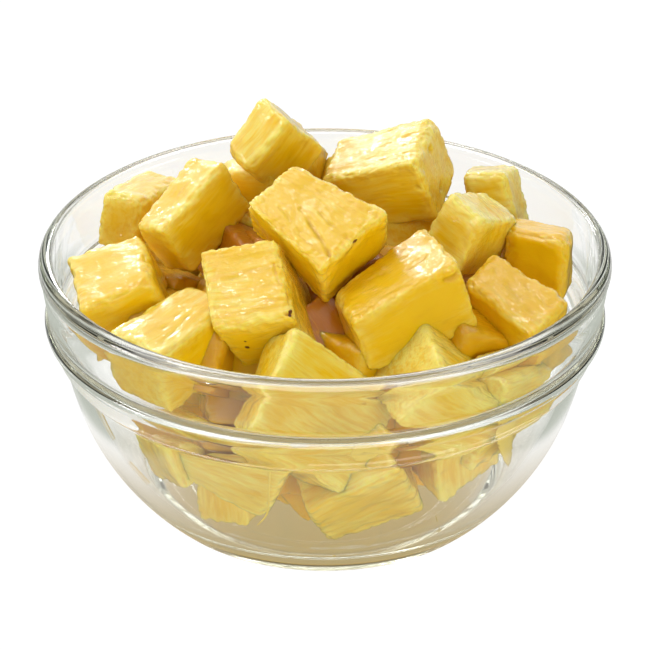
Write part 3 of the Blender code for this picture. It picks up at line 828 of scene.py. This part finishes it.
def makeFlesh():
    material, tree, shader = newMaterial("wetPineappleFlesh", {
        "Subsurface Weight": flesh["glow"],
        "Subsurface Radius": flesh["glowRadius"],
        "Subsurface Scale": flesh["glowScale"],
        "IOR": flesh["index"],
        "Roughness": flesh["roughness"],
        "Coat Weight": 1.0,
        "Coat Roughness": flesh["juiceRoughness"],
        "Coat IOR": flesh["juiceIndex"],
    })
    grain = readLayer(tree, "grain", "Vector")
    ripenessAndShade, wet = readLayer(tree, "ripenessAndShade"), readLayer(tree, "wet")
    edge = readLayer(tree, "edgeness")

    def fibres(scale, detail, *rest):
        return noise(tree, scaled(tree, grain, flesh[scale]), 1.0, detail, *rest).outputs[0]

    streak = fibres("streakScale", 2.0, 0.55, 0.3)
    thread = fibres("threadScale", 2.0, 0.6)
    patch = fibres("patchScale", 2.0)
    paleness = maths(tree, "ADD", times(tree, ranged(tree, streak, 0.38, 0.62), flesh["streakShare"]),
                     times(tree, ranged(tree, thread, 0.35, 0.65), flesh["threadShare"]))
    patchy = times(tree, ranged(tree, patch, 0.38, 0.62), flesh["patchShare"])
    paleness = maths(tree, "ADD", paleness, patchy)
    paleness = maths(tree, "SUBTRACT", paleness, times(tree, ripenessAndShade, flesh["ripenessAndShadeShare"]))
    # painted light and shade: faces that look up keep their paleness, faces that look sideways lose part of
    # it, less so below the rim
    normal = addNode(tree, "ShaderNodeNewGeometry").outputs["Normal"]
    upward = addNode(tree, "ShaderNodeSeparateXYZ", None, Vector=normal).outputs["Z"]
    place = addNode(tree, "ShaderNodeTexCoord").outputs["Object"]
    height = addNode(tree, "ShaderNodeSeparateXYZ", None, Vector=place).outputs["Z"]
    sideways = ranged(tree, height, *flesh["rimReach"], flesh["shadedLowSidePaleness"], flesh["shadedSidePaleness"])
    upright = ranged(tree, upward, 0.65, 0.1)
    sideways = times(tree, maths(tree, "SUBTRACT", 1.0, sideways), upright)
    paleness = times(tree, paleness, maths(tree, "SUBTRACT", 1.0, sideways))
    # painted shade: the pale band along an edge fades where the surface looks down
    edge = times(tree, times(tree, edge, flesh["edgePaleness"]),
                 ranged(tree, upward, -0.3, 0.5, flesh["shadedEdgePaleness"], 1.0))
    paleness = maths(tree, "ADD", paleness, edge, clamp=True)
    colour = mixColours(tree, paleness, flesh["golden"], flesh["pale"])
    # deeper along some streaks, and where the ripeness value passes 1, which on the hidden chunks is painted
    # gap shade
    deep = times(tree, ranged(tree, streak, 0.48, 0.34), flesh["deepStreaks"])
    deep = maths(tree, "MAXIMUM", deep, maths(tree, "SUBTRACT", ripenessAndShade, 1.0), clamp=True)
    colour = mixColours(tree, deep, colour, flesh["amber"])
    # painted shade: the chunks deepest in the gaps are darkened further
    gapShadeShare = maths(tree, "SUBTRACT", ripenessAndShade, 2.0, clamp=True)
    colour = mixColours(tree, gapShadeShare, colour, flesh["gapShadeColour"])
    # thin darker fibres, then the painted shade in the splits, and the brown specks
    line = fibres("lineScale", 1.0, 0.5, 0.5)
    line = ranged(tree, maths(tree, "ABSOLUTE", maths(tree, "SUBTRACT", line, 0.5)), 0.022, 0.0)
    line = times(tree, line, ranged(tree, patch, 0.4, 0.6, 0.0, flesh["fibreLines"]))
    dark = maths(tree, "MAXIMUM", readLayer(tree, "dark"), line, clamp=True)
    colour = mixColours(tree, dark, colour, flesh["splitColour"])
    nearSpeck = readLayer(tree, "speck")
    ragged = noise(tree, grain, 1.4, 2.0).outputs[0]
    speck = ranged(tree, maths(tree, "ADD", nearSpeck, times(tree, ragged, 0.8)), 0.75, 1.15)
    speck = times(tree, speck, maths(tree, "GREATER_THAN", nearSpeck, 0.02))
    colour = mixColours(tree, speck, colour, flesh["speckColour"])
    tree.links.new(colour, shader.inputs["Base Color"])
    grit = fibres("gritScale", 2.0, 0.6)
    bump = addNode(tree, "ShaderNodeBump", None, Strength=1.0, Distance=flesh["grainHeight"], Height=grit)
    tree.links.new(bump.outputs[0], shader.inputs["Normal"])
    # the juice lies in short ripples, more on some chunks than on others
    ripple = fibres("rippleScale", 1.5, 0.5, 0.8)
    pool = ranged(tree, noise(tree, grain, flesh["poolScale"], 1.0).outputs[0], 0.38, 0.6)
    height = times(tree, ripple, times(tree, maths(tree, "ADD", pool, 0.25), wet))
    height = times(tree, height, ranged(tree, upward, 0.1, 0.6, 0.12, 1.0))
    film = addNode(tree, "ShaderNodeBump", None, Strength=1.0, Distance=flesh["rippleHeight"], Height=height)
    tree.links.new(film.outputs[0], shader.inputs["Coat Normal"])
    return material


juice = {"colour": (0.90, 0.66, 0.10), "clear": 0.1, "roughness": 0.06, "index": 1.35}
# Runs of juice on the inside of the glass: along each, (angle, height), then the half width and thickness.
juiceRuns = {
    "smear": (((274.2, 60.2), (278.5, 60.0), (283.4, 59.0)), 3.0, 0.9),
    "smearFoot": (((277.0, 59.5), (278.8, 55.0)), 3.6, 0.9),
    "leftDrop": (((231.5, 51.5), (232.4, 49.0)), 1.9, 0.8),
    "rightPatch": (((307.5, 55.0), (313.0, 54.5)), 3.0, 0.7),
    "rightRun": (((311.0, 51.5), (312.8, 44.0), (314.2, 38.0)), 4.4, 0.8),
    "lowDropA": (((297.2, 26.0), (297.8, 24.2)), 1.3, 0.6),
    "lowDropB": (((300.2, 19.0), (301.2, 17.0)), 1.2, 0.6),
    "lowDropC": (((303.0, 13.6), (304.2, 12.4)), 1.2, 0.5),
    "lowDropD": (((272.3, 12.8), (272.8, 11.7)), 1.1, 0.5),
    "leftRunA": (((196.5, 37), (199, 32), (201.5, 28)), 1.0, 0.6),
    "leftRunB": (((206.5, 22.5), (208.5, 19), (210, 16)), 1.0, 0.6),
    "meniscus": (((258.5, 49.4), (258, 41.8), (257, 32.6), (254, 26.6)), 0.4, 0.4),
}


def wallPoint(angle, z, inset):
    radius = innerRadius(z) - inset
    return Vector((radius * math.cos(math.radians(angle)), radius * math.sin(math.radians(angle)), z))


def makeJuice():
    material = newMaterial("pineappleJuice", {
        "Base Color": (*juice["colour"], 1.0),
        "Roughness": juice["roughness"],
        "IOR": juice["index"],
        "Transmission Weight": juice["clear"],
    })[0]
    points, faces = [], []
    around, along = 14, 30
    draw = random.Random(4)
    for route, halfWidth, thickness in juiceRuns.values():
        line = smoothLine([(a, z) for a, z in route], 0.5)
        lengths = np.linspace(0, len(line) - 1, along)
        angles = np.interp(lengths, range(len(line)), [a for a, z in line])
        heights = np.interp(lengths, range(len(line)), [z for a, z in line])
        first = len(points)
        bumps = [draw.uniform(0.8, 1.1) for _ in range(along)]
        arcs = np.radians(angles) * np.array([innerRadius(z) for z in heights])
        runs = np.gradient(arcs), np.gradient(heights)
        for i in range(along):
            share = i / (along - 1)
            swell = math.sqrt(max(0.0, 1 - (2 * share - 1) ** 4)) * bumps[i]
            length = math.hypot(runs[0][i], runs[1][i])
            for j in range(around):
                turn = math.tau * j / around
                side = halfWidth * swell * math.cos(turn)
                lift = 0.08 + thickness * (0.5 + 0.5 * math.sin(turn)) * (0.15 + 0.85 * swell)
                z = heights[i] + side * runs[0][i] / length
                aside = math.degrees(-side * runs[1][i] / length / innerRadius(z))
                points.append(wallPoint(angles[i] + aside, z, lift))
        for i in range(along - 1):
            for j in range(around):
                k = (j + 1) % around
                faces.append([first + i * around + j, first + i * around + k,
                              first + (i + 1) * around + k, first + (i + 1) * around + j])
        faces.append([first + j for j in range(around)][::-1])
        faces.append([first + (along - 1) * around + j for j in range(around)])
    thing = meshObject("juiceOnGlass", points, faces)
    thing.data.materials.append(material)
    thing.data.shade_smooth()
    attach(thing, "root")
    print("juice on the glass:", len(juiceRuns), "runs and drops")


studio = {
    "cameraHeightAngle": 28.8,      # degrees above the horizontal
    "cameraDistance": 700.0,
    "cameraTargetZ": 53.5,
    "lens": 127.9,
    "floorSize": 6.0,               # metres
    "floorColour": (0.05, 0.05, 0.05),
    "floorGlow": 1.0,
    "floorThroughGlass": (0.95, 0.95, 0.94),      # the same floor, seen through the bowl
    "shadeThroughGlass": (0.46, 0.36, 0.17),      # and the shade that the fruit throws on it
    "shadeCentre": (0.0, -0.02, 0.0),             # metres
    "shadeReach": (0.03, 0.105),
    "cardColour": (0.47, 0.50, 0.44),             # cards beside the bowl, seen through its ends alone
    "cardReach": (0.088, 0.098),                  # metres to the side
    "cardDepth": (0.17, 0.13),                    # and back
    "floorOnJuice": (0.6, 0.6, 0.55),             # the floor behind the bowl, as the wet flesh mirrors it
    "floorBehind": (0.12, 0.4),
    "floorEdge": (0.35, 0.9),
    "brightRoom": (0.90, 0.90, 0.90),
    "brightRoomOnJuice": (1.4, 1.4, 1.4),         # as the wet flesh mirrors it
    "dimRoom": (0.03, 0.03, 0.03),                # what the wet flesh mirrors on the viewer's side
    "roomThroughGlass": (0.74, 0.75, 0.73),
    "sidesThroughGlass": (0.33, 0.36, 0.30),
    "sidesReach": (0.12, 0.55),                   # how far across they start
    "dome": (6.5, 6.5, 6.5),
    "domeFoot": (0.64, 0.74),                     # how high it starts and ends
    "domeTop": (0.95, 0.88),
    "frontWindow": (5.0, 5.0, 5.0),               # mirrored by the ridge and the rim alone
    "frontReach": (0.1, -0.1),                    # how near and how high it starts
    "frontFoot": (0.1, 0.3),
    "brightSide": (-0.6, 0.85),                   # across, away
    "brightReach": (-0.3, 0.5),
    "brightTop": (0.2, 0.9, 0.0, 0.8),            # from this to that height, and from none to so much
    "bounces": 28,                                # light runs a long way inside the rim
    "mirrorBounces": 12,
}


def makeFloor():
    floor = meshObject("paleFloor", [(-1, -1, 0), (1, -1, 0), (1, 1, 0), (-1, 1, 0)], [(0, 1, 2, 3)],
                       studio["floorSize"] / 2)
    material, tree, shader = newMaterial("paleFloor", {
        "Base Color": (*studio["floorColour"], 1.0),
        "Roughness": 0.8,
        "Specular IOR Level": 0.0,
        "Emission Strength": studio["floorGlow"],
    })

    def farness(vector):
        return addNode(tree, "ShaderNodeVectorMath", {"operation": "LENGTH"}, i0=vector).outputs["Value"]

    place = addNode(tree, "ShaderNodeTexCoord").outputs["Object"]
    fromShade = vectorMaths(tree, "SUBTRACT", place, studio["shadeCentre"])
    shaded = ranged(tree, farness(fromShade), *studio["shadeReach"])
    through = mixColours(tree, shaded, studio["shadeThroughGlass"], studio["floorThroughGlass"])
    through = mixColours(tree, ranged(tree, farness(place), *studio["floorEdge"]), through,
                         studio["sidesThroughGlass"])
    sides = addNode(tree, "ShaderNodeSeparateXYZ", None, Vector=place)
    aside = ranged(tree, maths(tree, "ABSOLUTE", sides.outputs["X"]), *studio["cardReach"])
    aside = times(tree, aside, ranged(tree, sides.outputs["Y"], *studio["cardDepth"]))
    through = mixColours(tree, aside, through, studio["cardColour"])
    path = addNode(tree, "ShaderNodeLightPath")
    mirrored = mixColours(tree, ranged(tree, sides.outputs["Y"], *studio["floorBehind"]),
                          studio["dimRoom"], studio["floorOnJuice"])
    seen = mixColours(tree, path.outputs["Is Glossy Ray"], (1, 1, 1), mirrored)
    seen = mixColours(tree, path.outputs["Is Singular Ray"], seen, through)
    tree.links.new(seen, shader.inputs["Emission Color"])
    floor.data.materials.append(material)


def makeRoom():
    world = bpy.data.worlds.new("studio")
    bpy.context.scene.world = world
    world.use_nodes = True
    world.cycles.sampling_method = "NONE"
    tree = world.node_tree
    background = tree.nodes["Background"]
    direction = addNode(tree, "ShaderNodeTexCoord").outputs["Generated"]
    parts = addNode(tree, "ShaderNodeSeparateXYZ", None, Vector=direction)
    path = addNode(tree, "ShaderNodeLightPath")
    # bright behind and overhead, dim on the viewer's side, so that the flesh stays deep
    across = times(tree, parts.outputs["X"], studio["brightSide"][0])
    behind = times(tree, parts.outputs["Y"], studio["brightSide"][1])
    away = ranged(tree, maths(tree, "ADD", across, behind), *studio["brightReach"])
    high = ranged(tree, parts.outputs["Z"], *studio["brightTop"])
    bright = mixColours(tree, path.outputs["Is Glossy Ray"], studio["brightRoom"],
                        studio["brightRoomOnJuice"])
    onFlesh = mixColours(tree, maths(tree, "MAXIMUM", away, high), studio["dimRoom"], bright)
    # what shows through and on the glass: white, with dark sides that draw its edges
    sideways = ranged(tree, maths(tree, "ABSOLUTE", parts.outputs["X"]), *studio["sidesReach"])
    glassy = mixColours(tree, sideways, studio["roomThroughGlass"], studio["sidesThroughGlass"])
    front = times(tree, ranged(tree, parts.outputs["Y"], *studio["frontReach"]),
                  ranged(tree, parts.outputs["Z"], *studio["frontFoot"]))
    front = times(tree, front, path.outputs["Is Glossy Ray"])
    glassy = mixColours(tree, front, glassy, studio["frontWindow"])
    dome = times(tree, ranged(tree, parts.outputs["Z"], *studio["domeFoot"]),
                 ranged(tree, parts.outputs["Z"], *studio["domeTop"]))
    dome = times(tree, dome, path.outputs["Is Glossy Ray"])
    glassy = mixColours(tree, dome, glassy, studio["dome"])
    seen = mixColours(tree, path.outputs["Is Singular Ray"], onFlesh, glassy)
    seen = mixColours(tree, path.outputs["Is Camera Ray"], seen, (1, 1, 1))
    tree.links.new(seen, background.inputs["Color"])


def makeStage():
    makeFloor()
    makeRoom()
    bpy.context.scene.view_settings.view_transform = "Standard"
    bpy.context.scene.cycles.max_bounces = studio["bounces"]
    bpy.context.scene.cycles.transmission_bounces = studio["bounces"]
    bpy.context.scene.cycles.glossy_bounces = studio["mirrorBounces"]
    print("floor and room made")


softBoxes = {
    "overhead": {"at": (-0.3, 0.12, 0.85), "size": (0.24, 0.24), "watts": 1.6, "mirrored": True},
    "window": {"at": (-0.3, 0.75, 0.5), "size": (0.16, 0.16), "watts": 1.8, "mirrored": True},
    "sideWindow": {"at": (-0.85, -0.15, 0.45), "size": (0.2, 0.2), "watts": 1.2, "mirrored": True},
    "frontFill": {"at": (0.4, -0.95, 0.25), "size": (1.2, 0.5), "watts": 5.8, "mirrored": False},
}


def makeLights():
    target = Vector((0, 0, 0.07))
    for name, box in softBoxes.items():
        lamp = bpy.data.lights.new(name, "AREA")
        lamp.shape = "RECTANGLE"
        lamp.size, lamp.size_y = box["size"]
        lamp.energy = box["watts"]
        holder = bpy.data.objects.new(name, lamp)
        holder.location = box["at"]
        holder.rotation_euler = (target - Vector(box["at"])).to_track_quat("-Z", "Y").to_euler()
        holder.visible_glossy = box["mirrored"]
        bpy.context.scene.collection.objects.link(holder)
    print(len(softBoxes), "soft boxes lit")


def makeCamera():
    angle = math.radians(studio["cameraHeightAngle"])
    away = Vector((0, -math.cos(angle), math.sin(angle)))
    camera = bpy.data.objects.new("camera", bpy.data.cameras.new("camera"))
    camera.location = (Vector((0, 0, studio["cameraTargetZ"])) + away * studio["cameraDistance"]) * mm
    camera.rotation_euler = (math.pi / 2 - angle, 0, 0)
    camera.data.lens = studio["lens"]
    camera.data.sensor_width = 36
    bpy.context.scene.collection.objects.link(camera)
    bpy.context.scene.camera = camera


makeStage()
makeLights()
makeCamera()
makeBowl(makeGlass())
makeJuice()
relief = reliefTree(makeFlesh())
names = list(shownChunks)
fine = [name for name in names if "step" in shownChunks[name]]
plain = [name for name in names if "step" not in shownChunks[name]]
# each piece is named, with its chunks and the number that its first chunk's own wear starts from
shownPieces = (("peakChunks", fine[:2], 1), ("middleChunks", fine[2:], 10),
               ("edgeChunks", plain[:9], 20), ("lowChunks", plain[9:], 42))
for title, group, first in shownPieces:
    makeChunks(title, {name: shownChunks[name] for name in group}, chunkForm["step"], relief, first)
rest = restChunks()
restNames = list(rest)
restPieces = (("backChunks", restNames[:19], 60), ("innerChunks", restNames[19:38], 90),
              ("lowestChunks", restNames[38:], 120))
for title, group, first in restPieces:
    makeChunks(title, {name: rest[name] for name in group}, chunkForm["restStep"], relief, first)
